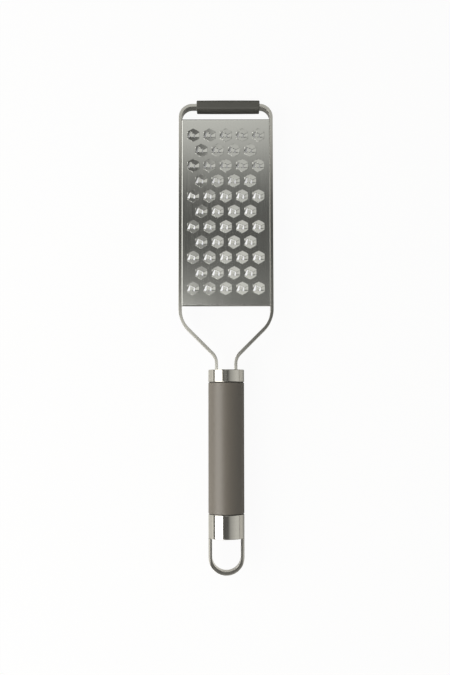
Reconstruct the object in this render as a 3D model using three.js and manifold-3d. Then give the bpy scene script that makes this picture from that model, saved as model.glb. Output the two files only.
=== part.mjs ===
// Hand grater: a toothed steel plate between the rails of a bent flat bar, on a round handle with a
// hanging loop. It lies on its back: +Y runs from the loop to the foot, +Z is the grating side, and
// z = 0 is the table that the handle and the foot both touch. Sizes are in millimetres.

import * as THREE from 'three';
import { mergeVertices } from 'three/addons/utils/BufferGeometryUtils.js';
import Module from 'manifold-3d';

// Handle
const HANDLE_DIAMETER = 24;
const GRIP_LENGTH = 87;
const UPPER_FERRULE_LENGTH = 8.2;
const LOWER_FERRULE_LENGTH = 15.9;
const UPPER_END_WALL = 2.2;
const LOWER_END_WALL = 6;
const FERRULE_EDGE = 0.4;
const GRIP_EDGE = 0.3;
const SEAL_THICKNESS = 0.5;
const SEAL_RECESS = 0.5;
const CORE_DIAMETER = 21;
const CORE_WALL = 0.9;
const BLOCK_LENGTH = 22;

// Hanging loop
const LOOP_REACH = 24.2;
const LOOP_STRAP = 2.4;
const LOOP_DEPTH = 10;
const LOOP_EDGE = 0.4;
const TONGUE_THICKNESS = 0.9;
const TONGUE_WIDTH = 4;
const SOCKET_FLOOR = 1;

// Frame, a flat bar bent on edge
const FRAME_WIDTH = 64;
const FRAME_REACH = 181.5;
const BAR_THICKNESS = 2;
const BAR_DEPTH = 10;
const BAR_EDGE = 0.4;
const TOP_CORNER_RADIUS = 8.2;
const NECK_ANGLE = THREE.MathUtils.degToRad(45);
const NECK_UPPER_RADIUS = 19;
const NECK_LOWER_RADIUS = 9.8;
const NECK_STRAIGHT = 4.2;
const TAIL_SPACING = 13;
const TAIL_LENGTH = 20;

// Grating plate
const SHEET_THICKNESS = 0.5;
const PLATE_INNER_BEND = 0.15;
const PLATE_FLANGE = 6;
const PLATE_LIP = 2.2;
const PLATE_NECK_GAP = 2;
const PLATE_TOP_GAP = 8.7;

// Teeth
const TOOTH_ROWS = 11;
const TOOTH_COLUMNS = 5;
const TOOTH_WIDTH = 8.2;
const TOOTH_HEIGHT = 1.5;
const TOOTH_SIDE_MARGIN = 7.9;
const TOOTH_TOP_MARGIN = 11.1;
const TOOTH_FOOT_MARGIN = 12;
const RIDGE_LENGTH_SHARE = 0.66;
const RIDGE_WIDTH_SHARE = 0.26;

// Slot of one tooth, as shares of the tooth's width from its centre: a wide cut at the left, a fine cut
// across to the wedge under the upper lip's point, and a fine cut up to the right
const SLOT_OUTLINE = [
  [-0.485, -0.195],
  [-0.29, 0.24],
  [0.14, 0.05],
  [0.14, -0.255],
  [0.0, -0.205],
  [0.09, 0.03],
  [-0.235, 0.185],
  [-0.3, -0.24],
];

// Foot, a little to one side on its bar
const FOOT_WIDTH = 42.9;
const FOOT_SHIFT = 1.6;
const FOOT_WALL = 2.05;
const FOOT_ROUNDING = 1.5;
const FOOT_EDGE = 0.6;

// Clearances: round a sleeve, round a piece that passes through a cut, past a face to be cut open, and
// how deep a tooth's root is sunk in the sheet
const SLIP_FIT = 0.15;
const CUT_FIT = 0.3;
const CUT_PAST = 1;
const TOOTH_ROOT = 0.05;

// Facets in a full turn, and across an eased rim
const TURN_FACETS = 40;
const RIM_FACETS = 2;

// Radii from the handle's axis
const handleRadius = HANDLE_DIAMETER / 2;
const coreRadius = CORE_DIAMETER / 2;
const sleeveBore = coreRadius + SLIP_FIT;

// Places along the handle, counted from its upper end, where the neck goes in
const upperFerruleFoot = -UPPER_FERRULE_LENGTH;
const gripTop = upperFerruleFoot - SEAL_THICKNESS;
const gripFoot = gripTop - GRIP_LENGTH;
const lowerFerruleTop = gripFoot - SEAL_THICKNESS;
const lowerFerruleFoot = lowerFerruleTop - LOWER_FERRULE_LENGTH;
const loopFoot = lowerFerruleFoot - LOOP_REACH;
const coreTop = -UPPER_END_WALL;
const coreFoot = lowerFerruleFoot + LOWER_END_WALL;

// The frame dips from the handle's end, so that the foot's sole and the handle lie on one table
const footLength = BAR_THICKNESS + 2 * (FOOT_WALL + SLIP_FIT);
const footDepth = BAR_DEPTH + 2 * (FOOT_WALL + SLIP_FIT);
const topBarReach = FRAME_REACH - BAR_THICKNESS / 2;
const dip = Math.asin((handleRadius - footDepth / 2) / topBarReach);
const footY = topBarReach * Math.cos(dip);

// The bar's middle line: straight tails, a bend out, a slope, a bend back, and straight rails
const railX = (FRAME_WIDTH - BAR_THICKNESS) / 2;
const tailX = TAIL_SPACING / 2;
const neckRadii = NECK_LOWER_RADIUS + NECK_UPPER_RADIUS;
const neckSlope = (railX - tailX - neckRadii * (1 - Math.cos(NECK_ANGLE))) / Math.sin(NECK_ANGLE);
const neckTop = NECK_STRAIGHT + neckSlope * Math.cos(NECK_ANGLE) + neckRadii * Math.sin(NECK_ANGLE);

// The plate fits between the rails, with its face level with their front edges
const plateWidth = FRAME_WIDTH - 2 * BAR_THICKNESS;
const plateFoot = neckTop + PLATE_NECK_GAP;
const plateTop = FRAME_REACH - BAR_THICKNESS - PLATE_TOP_GAP;
const plateFace = BAR_DEPTH / 2;
const plateBend = PLATE_INNER_BEND + SHEET_THICKNESS;

const wasm = await Module();
wasm.setup();

function solidOf(geometry) {
  const bare = geometry.clone();
  bare.deleteAttribute('normal');
  bare.deleteAttribute('uv');
  const merged = mergeVertices(bare);
  const triangles = [];
  for (let i = 0; i < merged.index.count; i += 3) {
    const corners = [0, 1, 2].map((k) => merged.index.getX(i + k));
    if (new Set(corners).size === 3) triangles.push(...corners);
  }
  return new wasm.Manifold(new wasm.Mesh({
    numProp: 3,
    vertProperties: new Float32Array(merged.attributes.position.array),
    triVerts: new Uint32Array(triangles),
  }));
}

function geometryOf(solid) {
  const mesh = solid.getMesh();
  const geometry = new THREE.BufferGeometry();
  geometry.setAttribute('position', new THREE.BufferAttribute(mesh.vertProperties, 3));
  geometry.setIndex(new THREE.BufferAttribute(mesh.triVerts, 1));
  geometry.computeVertexNormals();
  return geometry;
}

function joined(base, geometries) {
  return geometries.reduce((solid, geometry) => solid.add(solidOf(geometry)), base);
}

function cut(base, geometries) {
  return geometries.reduce((solid, geometry) => solid.subtract(solidOf(geometry)), base);
}

function boxAt(width, length, height, x, y, z) {
  return new THREE.BoxGeometry(width, length, height).translate(x, y, z);
}

function shapeOf(points) {
  return new THREE.Shape(points.map(([x, y]) => new THREE.Vector2(x, y)));
}

function arc(centreX, centreY, radius, fromAngle, toAngle) {
  const steps = Math.ceil(TURN_FACETS * Math.abs(toAngle - fromAngle) / (2 * Math.PI));
  return Array.from({ length: steps + 1 }, (_, step) => {
    const angle = fromAngle + (toAngle - fromAngle) * step / steps;
    return [centreX + radius * Math.cos(angle), centreY + radius * Math.sin(angle)];
  });
}

// A flat outline with a depth about z = 0 and eased rims
function slab(points, depth, rim) {
  const geometry = new THREE.ExtrudeGeometry(shapeOf(points), {
    depth: depth - 2 * rim,
    bevelThickness: rim,
    bevelSize: rim,
    bevelOffset: -rim,
    bevelSegments: RIM_FACETS,
  });
  return geometry.translate(0, 0, rim - depth / 2);
}

// A profile of radius and place along Y, turned round the handle's axis
function turned(profile) {
  const points = profile.map(([radius, y]) => new THREE.Vector2(radius, y));
  const solidCore = profile[0][0] === 0;
  if (!solidCore) points.push(points[0].clone());
  return new THREE.LatheGeometry(points, TURN_FACETS);
}

function ring(outerRadius, bore, foot, top, edge) {
  return turned([
    [bore, foot],
    [outerRadius - edge, foot],
    [outerRadius, foot + edge],
    [outerRadius, top - edge],
    [outerRadius - edge, top],
    [bore, top],
  ]);
}

// Left half of an edge line of the bar, from the tail's end up to the top bar. The inset is counted from
// the bar's middle line towards the inside of the frame.
function frameLine(inset) {
  const cornerX = TOP_CORNER_RADIUS - railX;
  const cornerY = topBarReach - TOP_CORNER_RADIUS;
  return [
    [inset - tailX, -TAIL_LENGTH],
    ...arc(-tailX - NECK_LOWER_RADIUS, NECK_STRAIGHT, NECK_LOWER_RADIUS + inset, 0, NECK_ANGLE),
    ...arc(NECK_UPPER_RADIUS - railX, neckTop, NECK_UPPER_RADIUS - inset, Math.PI + NECK_ANGLE, Math.PI),
    ...arc(cornerX, cornerY, TOP_CORNER_RADIUS - inset, Math.PI, Math.PI / 2),
  ];
}

function frameStrip() {
  const mirrored = (line) => line.map(([x, y]) => [-x, y]);
  const outside = frameLine(-BAR_THICKNESS / 2);
  const inside = frameLine(BAR_THICKNESS / 2);
  const outsideHairpin = [...outside, ...mirrored(outside).reverse()];
  const insideHairpin = [...mirrored(inside), ...inside.reverse()];
  return slab([...outsideHairpin, ...insideHairpin], BAR_DEPTH, BAR_EDGE);
}

// Straight lengths of both tails with a clearance round them, to cut the ferrule
function tailCutters() {
  return [-tailX, tailX].map((x) => boxAt(
    BAR_THICKNESS + 2 * CUT_FIT,
    2 * TAIL_LENGTH,
    BAR_DEPTH + 2 * CUT_FIT,
    x,
    0,
    0,
  ).rotateX(-dip));
}

// A block as wide and long as the plate, with its upper edges rounded as the sheet's bends are
function trayBlock(inset) {
  const x = plateWidth / 2 - inset;
  const foot = plateFoot + inset;
  const top = plateTop - inset;
  const outline = [[-x, foot], [x, foot], [x, top], [-x, top]];
  const depth = 2 * (PLATE_FLANGE + plateBend);
  return slab(outline, depth, plateBend - inset).translate(0, 0, plateFace - inset - depth / 2);
}

// What is trimmed from the folded sheet: all below the side flanges, and below the lips at both ends
function flangeTrims() {
  const width = plateWidth + 2 * CUT_PAST;
  const length = plateTop - plateFoot + 2 * CUT_PAST;
  const depth = 2 * PLATE_FLANGE;
  const lipLength = 2 * plateBend;
  const middle = (plateTop + plateFoot) / 2;
  const lipZ = plateFace - PLATE_LIP - depth / 2;
  return [
    boxAt(width, length, depth, 0, middle, plateFace - PLATE_FLANGE - depth / 2),
    boxAt(width, lipLength, depth, 0, plateTop, lipZ),
    boxAt(width, lipLength, depth, 0, plateFoot, lipZ),
  ];
}

function toothCentres() {
  const columnPitch = (plateWidth - 2 * TOOTH_SIDE_MARGIN) / (TOOTH_COLUMNS - 1);
  const rowPitch = (plateTop - TOOTH_TOP_MARGIN - plateFoot - TOOTH_FOOT_MARGIN) / (TOOTH_ROWS - 1);
  const centres = [];
  for (let row = 0; row < TOOTH_ROWS; row += 1) {
    const count = TOOTH_COLUMNS - row % 2;
    const y = plateTop - TOOTH_TOP_MARGIN - row * rowPitch;
    for (let column = 0; column < count; column += 1) {
      centres.push([(column - (count - 1) / 2) * columnPitch, y]);
    }
  }
  return centres;
}

// A hexagon with corners fore and aft, drawn in at the top to a short ridge. The lowered one is the hollow
// on the sheet's back.
function toothBoss(lowered) {
  const radius = TOOTH_WIDTH / Math.sqrt(3);
  const height = TOOTH_HEIGHT + TOOTH_ROOT;
  const boss = new THREE.CylinderGeometry(radius, radius, height, 6).rotateX(Math.PI / 2);
  const corners = boss.attributes.position;
  for (let i = 0; i < corners.count; i += 1) {
    const upper = corners.getZ(i) > 0;
    if (upper) corners.setX(i, corners.getX(i) * RIDGE_LENGTH_SHARE);
    if (upper) corners.setY(i, corners.getY(i) * RIDGE_WIDTH_SHARE);
  }
  return boss.translate(0, 0, plateFace - TOOTH_ROOT + height / 2 - lowered);
}

function toothSlot() {
  const outline = SLOT_OUTLINE.map(([x, y]) => [x * TOOTH_WIDTH, y * TOOTH_WIDTH]);
  const depth = 2 * (TOOTH_HEIGHT + SHEET_THICKNESS + CUT_PAST);
  return slab(outline, depth, 0).translate(0, 0, plateFace);
}

function gratingPlate() {
  const atTeeth = (geometry) => toothCentres().map(([x, y]) => geometry.clone().translate(x, y, 0));
  const tray = cut(solidOf(trayBlock(0)), [trayBlock(SHEET_THICKNESS), ...flangeTrims()]);
  const raised = joined(tray, atTeeth(toothBoss(0)));
  const hollowed = cut(raised, atTeeth(toothBoss(SHEET_THICKNESS)));
  return geometryOf(cut(hollowed, atTeeth(toothSlot())));
}

// The foot is squared to the table, and its bore to the dipping top bar
function footSleeve() {
  const y = footLength / 2;
  const z = footDepth / 2;
  const outline = [
    ...arc(y - FOOT_ROUNDING, z - FOOT_ROUNDING, FOOT_ROUNDING, 0, Math.PI / 2),
    ...arc(FOOT_ROUNDING - y, z - FOOT_ROUNDING, FOOT_ROUNDING, Math.PI / 2, Math.PI),
    ...arc(FOOT_ROUNDING - y, FOOT_ROUNDING - z, FOOT_ROUNDING, Math.PI, 1.5 * Math.PI),
    ...arc(y - FOOT_ROUNDING, FOOT_ROUNDING - z, FOOT_ROUNDING, 1.5 * Math.PI, 2 * Math.PI),
  ];
  const alongX = new THREE.Matrix4().makeBasis(
    new THREE.Vector3(0, 1, 0),
    new THREE.Vector3(0, 0, 1),
    new THREE.Vector3(1, 0, 0),
  );
  const sleeve = slab(outline, FOOT_WIDTH, FOOT_EDGE).applyMatrix4(alongX);
  const bore = boxAt(
    FOOT_WIDTH + 2 * CUT_PAST,
    BAR_THICKNESS + 2 * SLIP_FIT,
    BAR_DEPTH + 2 * SLIP_FIT,
    0,
    0,
    0,
  ).rotateX(-dip);
  return geometryOf(cut(solidOf(sleeve), [bore]));
}

function upperFerrule() {
  const cap = turned([
    [0, coreTop],
    [sleeveBore, coreTop],
    [sleeveBore, upperFerruleFoot],
    [handleRadius - FERRULE_EDGE, upperFerruleFoot],
    [handleRadius, upperFerruleFoot + FERRULE_EDGE],
    [handleRadius, -FERRULE_EDGE],
    [handleRadius - FERRULE_EDGE, 0],
    [0, 0],
  ]);
  return geometryOf(cut(solidOf(cap), tailCutters()));
}

// Tongues on the loop's legs, or with a clearance the sockets that they sit in
function tongues(clearance) {
  const length = LOWER_END_WALL - SOCKET_FLOOR - CUT_FIT;
  const x = handleRadius - LOOP_STRAP + TONGUE_THICKNESS / 2;
  return [-x, x].map((side) => boxAt(
    TONGUE_THICKNESS + 2 * clearance,
    2 * (length + clearance),
    TONGUE_WIDTH + 2 * clearance,
    side,
    lowerFerruleFoot,
    0,
  ));
}

function lowerFerrule() {
  const cap = turned([
    [0, lowerFerruleFoot],
    [handleRadius - FERRULE_EDGE, lowerFerruleFoot],
    [handleRadius, lowerFerruleFoot + FERRULE_EDGE],
    [handleRadius, lowerFerruleTop - FERRULE_EDGE],
    [handleRadius - FERRULE_EDGE, lowerFerruleTop],
    [sleeveBore, lowerFerruleTop],
    [sleeveBore, coreFoot],
    [0, coreFoot],
  ]);
  return geometryOf(cut(solidOf(cap), tongues(CUT_FIT)));
}

// A strap bent into a U, with its legs' outer sides turned down to the handle's round
function hangLoop() {
  const inner = handleRadius - LOOP_STRAP;
  const centreY = loopFoot + handleRadius;
  const outline = [
    [-handleRadius, lowerFerruleFoot],
    ...arc(0, centreY, handleRadius, Math.PI, 2 * Math.PI),
    [handleRadius, lowerFerruleFoot],
    [inner, lowerFerruleFoot],
    ...arc(0, centreY, inner, 2 * Math.PI, Math.PI),
    [-inner, lowerFerruleFoot],
  ];
  const handleRound = new THREE.CylinderGeometry(handleRadius, handleRadius, 4 * LOOP_REACH, TURN_FACETS)
    .translate(0, lowerFerruleFoot, 0);
  const strap = solidOf(slab(outline, LOOP_DEPTH, LOOP_EDGE)).intersect(solidOf(handleRound));
  return geometryOf(joined(strap, tongues(0)));
}

// A round block with two flats that the tails lie along
function tailBlock() {
  const radius = coreRadius - CORE_WALL - SLIP_FIT;
  const middle = coreTop - BLOCK_LENGTH / 2;
  const round = new THREE.CylinderGeometry(radius, radius, BLOCK_LENGTH, TURN_FACETS).translate(0, middle, 0);
  const width = TAIL_SPACING - BAR_THICKNESS - 2 * CUT_FIT;
  const flats = boxAt(width, BLOCK_LENGTH + 2 * CUT_PAST, HANDLE_DIAMETER, 0, middle, 0);
  return geometryOf(solidOf(round).intersect(solidOf(flats)));
}

function steel(color, roughness) {
  return new THREE.MeshStandardMaterial({ color, roughness, metalness: 1 });
}

function softTouch(color, roughness) {
  return new THREE.MeshStandardMaterial({ color, roughness, metalness: 0 });
}

function piece(name, geometry, material) {
  const mesh = new THREE.Mesh(geometry, material);
  mesh.name = name;
  return mesh;
}

const frame = new THREE.Group();
frame.position.z = handleRadius;
frame.rotation.x = -dip;
frame.add(
  piece('frame_strip', frameStrip(), steel(0xb9b7b0, 0.25)),
  piece('grating_plate', gratingPlate(), steel(0xb4b3ad, 0.3)),
);

const handle = new THREE.Group();
handle.position.z = handleRadius;
handle.add(
  piece('upper_ferrule', upperFerrule(), steel(0xc6c4bc, 0.08)),
  piece('lower_ferrule', lowerFerrule(), steel(0xc6c4bc, 0.08)),
  piece('hang_loop', hangLoop(), steel(0xbfbdb6, 0.15)),
  piece('core_tube', ring(coreRadius, coreRadius - CORE_WALL, coreFoot, coreTop, 0), steel(0xaaa8a2, 0.4)),
  piece('tail_block', tailBlock(), softTouch(0xd8d5cc, 0.6)),
  piece('grip_sleeve', ring(handleRadius, sleeveBore, gripFoot, gripTop, GRIP_EDGE), softTouch(0x7a756c, 0.6)),
);
const sealRadius = handleRadius - SEAL_RECESS;
handle.add(
  piece('upper_seal_ring', ring(sealRadius, sleeveBore, gripTop, upperFerruleFoot, 0), softTouch(0x2b2b2a, 0.7)),
  piece('lower_seal_ring', ring(sealRadius, sleeveBore, lowerFerruleTop, gripFoot, 0), softTouch(0x2b2b2a, 0.7)),
);

const foot = piece('foot_sleeve', footSleeve(), softTouch(0x52524e, 0.75));
foot.position.set(FOOT_SHIFT, footY, footDepth / 2);

// The origin is on the table, below the middle of the grater's length
const grater = new THREE.Group();
grater.position.y = -(footY + footLength / 2 + loopFoot) / 2;
grater.add(frame, handle, foot);

export default grater;
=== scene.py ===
"""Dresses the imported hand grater: finer meshes, materials, a pale floor, studio light and a camera."""

import math

import bmesh
import bpy
from mathutils import Matrix, Quaternion, Vector
from mathutils.geometry import delaunay_2d_cdt


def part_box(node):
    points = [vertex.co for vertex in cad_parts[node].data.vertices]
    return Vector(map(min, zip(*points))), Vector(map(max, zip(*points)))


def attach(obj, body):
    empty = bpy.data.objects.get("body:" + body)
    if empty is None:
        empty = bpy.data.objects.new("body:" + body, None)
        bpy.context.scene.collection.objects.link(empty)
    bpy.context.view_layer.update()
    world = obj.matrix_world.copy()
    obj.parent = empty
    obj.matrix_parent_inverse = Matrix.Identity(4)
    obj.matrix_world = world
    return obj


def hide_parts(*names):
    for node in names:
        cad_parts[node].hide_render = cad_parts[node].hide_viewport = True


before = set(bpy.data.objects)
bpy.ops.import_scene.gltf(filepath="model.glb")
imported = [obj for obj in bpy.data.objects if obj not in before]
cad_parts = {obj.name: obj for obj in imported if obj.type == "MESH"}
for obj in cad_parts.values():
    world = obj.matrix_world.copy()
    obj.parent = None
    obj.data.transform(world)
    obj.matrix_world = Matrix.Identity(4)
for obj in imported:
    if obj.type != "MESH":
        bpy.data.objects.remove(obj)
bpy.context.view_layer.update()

bl_info = {
    "name": "Hand grater",
    "version": (1, 0, 0),
    "blender": (4, 5, 0),
    "location": "3D View > Sidebar > Grater",
    "description": "Builds the visible pieces of a paddle hand grater on its packed frame",
    "category": "Add Mesh",
}

MM = 0.001
BODY = "root"

# Fineness of the meshes: an arc's step, steps round an eased corner, facets of a turned piece, how near two
# points are one, how near they are in a triangulation, and the angle from which an edge is sharp
ARC_STEP = math.radians(3)
CORNER_STEPS = 5
TURN_FACETS = 144
WELD = 1e-7
TRIANGLE_WELD = 1e-9
CREASE = math.radians(33)

# A tooth's mesh: points along its outline, its slot and each half of its lips, rings just inside its outline,
# a lattice over the rest, and the room kept free inside the rim, round the slot and between lip and slot
OUTLINE_STEP = 0.5 * MM
SLOT_STEP = 0.4 * MM
LIP_PITCH = 0.3 * MM
LIP_POINTS = 13
RING_INSETS = (0.06 * MM, 0.16 * MM, 0.32 * MM)
LATTICE_PITCH = 0.4 * MM
RIM_ROOM = 0.55 * MM
SLOT_ROOM = 0.22 * MM
LIP_ROOM = 0.1 * MM

# A tooth's softness: the width of a lip's step, and the blends of its slopes into its top and its sides
LIP_STEP = 0.08 * MM
TOP_BLEND = 0.12 * MM
SIDE_BLEND = 0.04 * MM

# Sine and cosine of a hexagon's 60 degrees
HEX_SINE = math.sqrt(0.75)
HEX_COSINE = 0.5

# The sheet's border: spacing of its points, the notch at each corner, the level strip just inside the folds,
# facets of a fold, and the height over the sheet from which the steel is burnished
BORDER_STEP = 3 * MM
CORNER_NOTCH = 0.3 * MM
LEVEL_STRIP = 0.2 * MM
FOLD_STEPS = 10
BURNISHED_ABOVE = 0.05 * MM

# Small roundings: the foot's bore, the tails' windows, the inner rims of the ferrules and of the rings, and
# the seal rings' own edges
BORE_EASE = 0.3 * MM
WINDOW_EASE = 0.5 * MM
FERRULE_INNER_EASE = 0.05 * MM
RING_INNER_EASE = 0.02 * MM
SEAL_EDGE = 0.05 * MM

# Parts of half the foot's length, the spacing of points round the loop's strap, and the least number that its
# bend divides by
FOOT_PARTS = 10
STRAP_STEP = 0.7 * MM
ALMOST_ZERO = 1e-6

# The grain's noise: its octaves, how much the finer ones weigh, and the range that it mostly keeps to
NOISE_DETAIL = 3.0
NOISE_ROUGHNESS = 0.55
NOISE_LOW, NOISE_HIGH = 0.3, 0.7

# Painted shade on the floor below the plate's far end, set by position, so that the real shadow shows there:
# how much white it takes, its length, the stretch over which it fades, and its soft edge
SHADE_DEPTH = 0.72
SHADE_LENGTH = 47 * MM
SHADE_FADE = 18 * MM
SHADE_EDGE = 2 * MM


def middle_of(box):
    return (box[0] + box[1]) / 2


# The handle's axis, and the frame's own place: it dips from the handle's upper end to the foot
GRIP_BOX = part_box("grip_sleeve")
AXIS_Z = middle_of(GRIP_BOX).z
HANDLE_RADIUS = GRIP_BOX[1].z - AXIS_Z
PIVOT = Vector((0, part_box("upper_ferrule")[1].y, AXIS_Z))
FOOT_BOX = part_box("foot_sleeve")
TO_FOOT = middle_of(FOOT_BOX) - PIVOT
DIP = math.atan2(-TO_FOOT.z, TO_FOOT.y)
TOP_BAR_REACH = math.hypot(TO_FOOT.y, TO_FOOT.z)
FRAME_PLACE = Matrix.Translation(PIVOT) @ Matrix.Rotation(-DIP, 4, "X")


def dipped_box(node):
    """Lowest and highest corner of a CAD node in the dipping frame's own axes."""
    back = FRAME_PLACE.inverted()
    points = [back @ vertex.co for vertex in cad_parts[node].data.vertices]
    return Vector(map(min, zip(*points))), Vector(map(max, zip(*points)))


STRIP_BOX = dipped_box("frame_strip")
PLATE_BOX = dipped_box("grating_plate")
PLATE_FACE = STRIP_BOX[1].z

# Slot of one tooth, as shares of the tooth's width from its centre
SLOT_OUTLINE = (
    (-0.485, -0.195),
    (-0.29, 0.24),
    (0.14, 0.05),
    (0.14, -0.255),
    (0.0, -0.205),
    (0.09, 0.03),
    (-0.235, 0.185),
    (-0.3, -0.24),
)

# Zigzag edges of a tooth's two lips from left to right, in the same shares. The ledge lies between them
UPPER_LIP = ((-0.5, -0.19), (-0.3, 0.25), (-0.21, 0.26), (0.16, 0.02), (0.5, 0.205))
LOWER_LIP = ((-0.5, -0.3), (-0.21, -0.105), (0.0, -0.26), (0.19, -0.295), (0.5, -0.18))


def linear(hex_colour):
    """Linear red, green and blue of an sRGB hex colour."""
    channels = [int(hex_colour[i:i + 2], 16) / 255 for i in (0, 2, 4)]
    return tuple(c / 12.92 if c <= 0.04045 else ((c + 0.055) / 1.055) ** 2.4 for c in channels)


def length(name, description, metres):
    return bpy.props.FloatProperty(
        name=name, description=description, default=metres, min=0, precision=5, unit="LENGTH"
    )


def slant(name, description, degrees):
    return bpy.props.FloatProperty(
        name=name, description=description, default=math.radians(degrees), subtype="ANGLE"
    )


def portion(name, description, share):
    return bpy.props.FloatProperty(
        name=name, description=description, default=share, min=0, max=1, subtype="FACTOR"
    )


def colour(name, description, hex_colour):
    return bpy.props.FloatVectorProperty(
        name=name, description=description, default=linear(hex_colour), size=3, min=0, max=1, subtype="COLOR"
    )


class GraterBar(bpy.types.PropertyGroup):
    thickness: length("Thickness", "Thickness of the bent flat bar", 2 * MM)
    edge: length("Edge rounding", "Radius on the long edges of the bar", 0.12 * MM)
    corner: length("Corner radius", "Middle-line radius of the two top corners", 8.2 * MM)
    neck_upper: length("Upper neck radius", "Middle-line radius where a rail turns in to the neck", 19 * MM)
    neck_lower: length("Lower neck radius", "Middle-line radius where a leg turns into its tail", 9.8 * MM)
    neck_straight: length("Tail above the handle", "Straight tail between the handle and its bend", 4.2 * MM)
    tail_spacing: length("Tail spacing", "Distance between the tails' middle lines", 13 * MM)
    neck_angle: slant("Neck angle", "Slope of the legs from the length", 45)
    steel: colour("Bar steel", "Reflected colour of the satin bar", "B7B6B1")


class GraterPlate(bpy.types.PropertyGroup):
    sheet: length("Sheet thickness", "Thickness of the steel sheet", 0.5 * MM)
    bend: length("Bend radius", "Outer radius of the folded edges", 0.65 * MM)
    lip: length("End lip", "Depth of the folded lips at both ends", 2.2 * MM)
    tooth_width: length("Tooth width", "Width of a tooth across its flats", 8.2 * MM)
    tooth_corner: length("Tooth corner", "Rounding of a tooth's corners in plan", 0.45 * MM)
    tooth_height: length("Tooth height", "Height of a tooth over the sheet", 1.5 * MM)
    tooth_top: length("Tooth top", "Half the breadth of the level band along a tooth's top", 0.08 * MM)
    ledge_height: length("Ledge height", "Height of the ledge between the lips at its middle", 0.85 * MM)
    ledge_tilt: slant("Ledge tilt", "Fall of the ledge towards the foot", 5.5)
    tooth_side: bpy.props.FloatProperty(
        name="Tooth side", description="Rise of a tooth's sides over their run", default=10.0, min=1
    )
    side_margin: length("Side margin", "First column's centre from the side of the plate", 7.9 * MM)
    foot_margin: length("Foot margin", "First row's centre from the foot's end of the plate", 11.1 * MM)
    neck_margin: length("Neck margin", "Last row's centre from the neck's end of the plate", 12 * MM)
    rows: bpy.props.IntProperty(name="Rows", description="Rows of teeth", default=11, min=1)
    columns: bpy.props.IntProperty(name="Columns", description="Teeth in a full row", default=5, min=2)
    steel: colour("Sheet steel", "Reflected colour of the brushed sheet", "C7C8C5")


class GraterHandle(bpy.types.PropertyGroup):
    ferrule_edge: length("Ferrule edge", "Rounding of the ferrules' rims", 0.4 * MM)
    grip_edge: length("Grip edge", "Rounding of the grip's rims", 0.3 * MM)
    bore: length("Bore", "Radius inside the sleeves", 10.65 * MM)
    upper_wall: length("Upper end wall", "End wall that the tails pass through", 2.2 * MM)
    window_fit: length("Window fit", "Gap round a tail in its window", 0.3 * MM)
    loop_strap: length("Loop strap", "Thickness of the hanging loop's strap", 2.4 * MM)
    loop_depth: length("Loop depth", "Depth of the hanging loop's strap", 10 * MM)
    loop_edge: length("Loop edge", "Rounding of the strap's edges", 0.14 * MM)
    ferrule_steel: colour("Ferrule steel", "Reflected colour of the polished steel", "CDCBC5")
    grip_plastic: colour("Grip", "Colour of the moulded grip", "625D56")
    seal_rubber: colour("Seals", "Colour of the seal rings", "2C2B29")


class GraterFoot(bpy.types.PropertyGroup):
    wall_fit: length("Bore fit", "Gap between the bar and the sleeve's bore", 0.15 * MM)
    rounding: length("Rounding", "Rounding along the sleeve", 1.5 * MM)
    edge: length("End rounding", "Rounding round the sleeve's ends", 0.6 * MM)
    slack: length("Slack", "How much thinner the sleeve is at its ends", 0.1 * MM)
    rubber: colour("Foot", "Colour of the moulded foot", "494945")


class GraterStage(bpy.types.PropertyGroup):
    softbox: bpy.props.FloatProperty(
        name="Softbox", description="Brightness of the softbox's face", default=3.7, min=0
    )
    floor_glow: portion("Floor white", "Share of plain white in the floor", 0.95)
    mirrored_glow: portion("Mirrored white", "Share of plain white in the floor's reflections", 0.05)
    floor: colour("Floor", "Colour of the pale floor", "D0CFCC")


class Skin:
    """Points that are one where they meet, and the faces on them."""

    def __init__(self):
        self.points = []
        self.faces = []
        self.known = {}

    def point(self, place):
        key = tuple(round(value / WELD) for value in place)
        if key not in self.known:
            self.known[key] = len(self.points)
            self.points.append(tuple(place))
        return self.known[key]

    def face(self, *places):
        corners = list(dict.fromkeys(self.point(place) for place in places))
        if len(corners) > 2:
            self.faces.append(corners)

    def band(self, first, second):
        """Faces between two closed loops of as many points."""
        for i, place in enumerate(first):
            self.face(first[i - 1], place, second[i], second[i - 1])

    def tube(self, loops):
        for first, second in zip(loops, loops[1:]):
            self.band(first, second)


def eased(corners):
    """A closed outline whose corners, given as x, y and radius, are rounded."""
    outline = []
    for i, (x, y, radius) in enumerate(corners):
        corner = Vector((x, y))
        before = (Vector(corners[i - 1][:2]) - corner).normalized()
        after = (Vector(corners[(i + 1) % len(corners)][:2]) - corner).normalized()
        half = before.angle(after) / 2
        centre = corner + (before + after).normalized() * (radius / math.sin(half))
        start = corner + before * (radius / math.tan(half)) - centre
        turn = start.angle_signed(corner + after * (radius / math.tan(half)) - centre)
        for step in range(CORNER_STEPS + 1):
            outline.append(centre + Matrix.Rotation(-turn * step / CORNER_STEPS, 2) @ start)
    return outline


def rounded_rectangle(half_width, half_height, radius):
    return eased([
        (half_width, -half_height, radius),
        (half_width, half_height, radius),
        (-half_width, half_height, radius),
        (-half_width, -half_height, radius),
    ])


def inside(outline, x, y):
    """Whether a point lies inside a closed outline."""
    crossings = 0
    for (x0, y0), (x1, y1) in zip(outline, [*outline[1:], outline[0]]):
        if (y0 > y) != (y1 > y) and x < x0 + (y - y0) * (x1 - x0) / (y1 - y0):
            crossings += 1
    return crossings % 2 == 1


def refined(outline, step):
    """A closed outline with points about a step apart."""
    fine = []
    for start, end in zip(outline, [*outline[1:], outline[0]]):
        start, end = Vector(start), Vector(end)
        parts = max(1, round((end - start).length / step))
        fine.extend(start.lerp(end, part / parts) for part in range(parts))
    return fine


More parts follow.
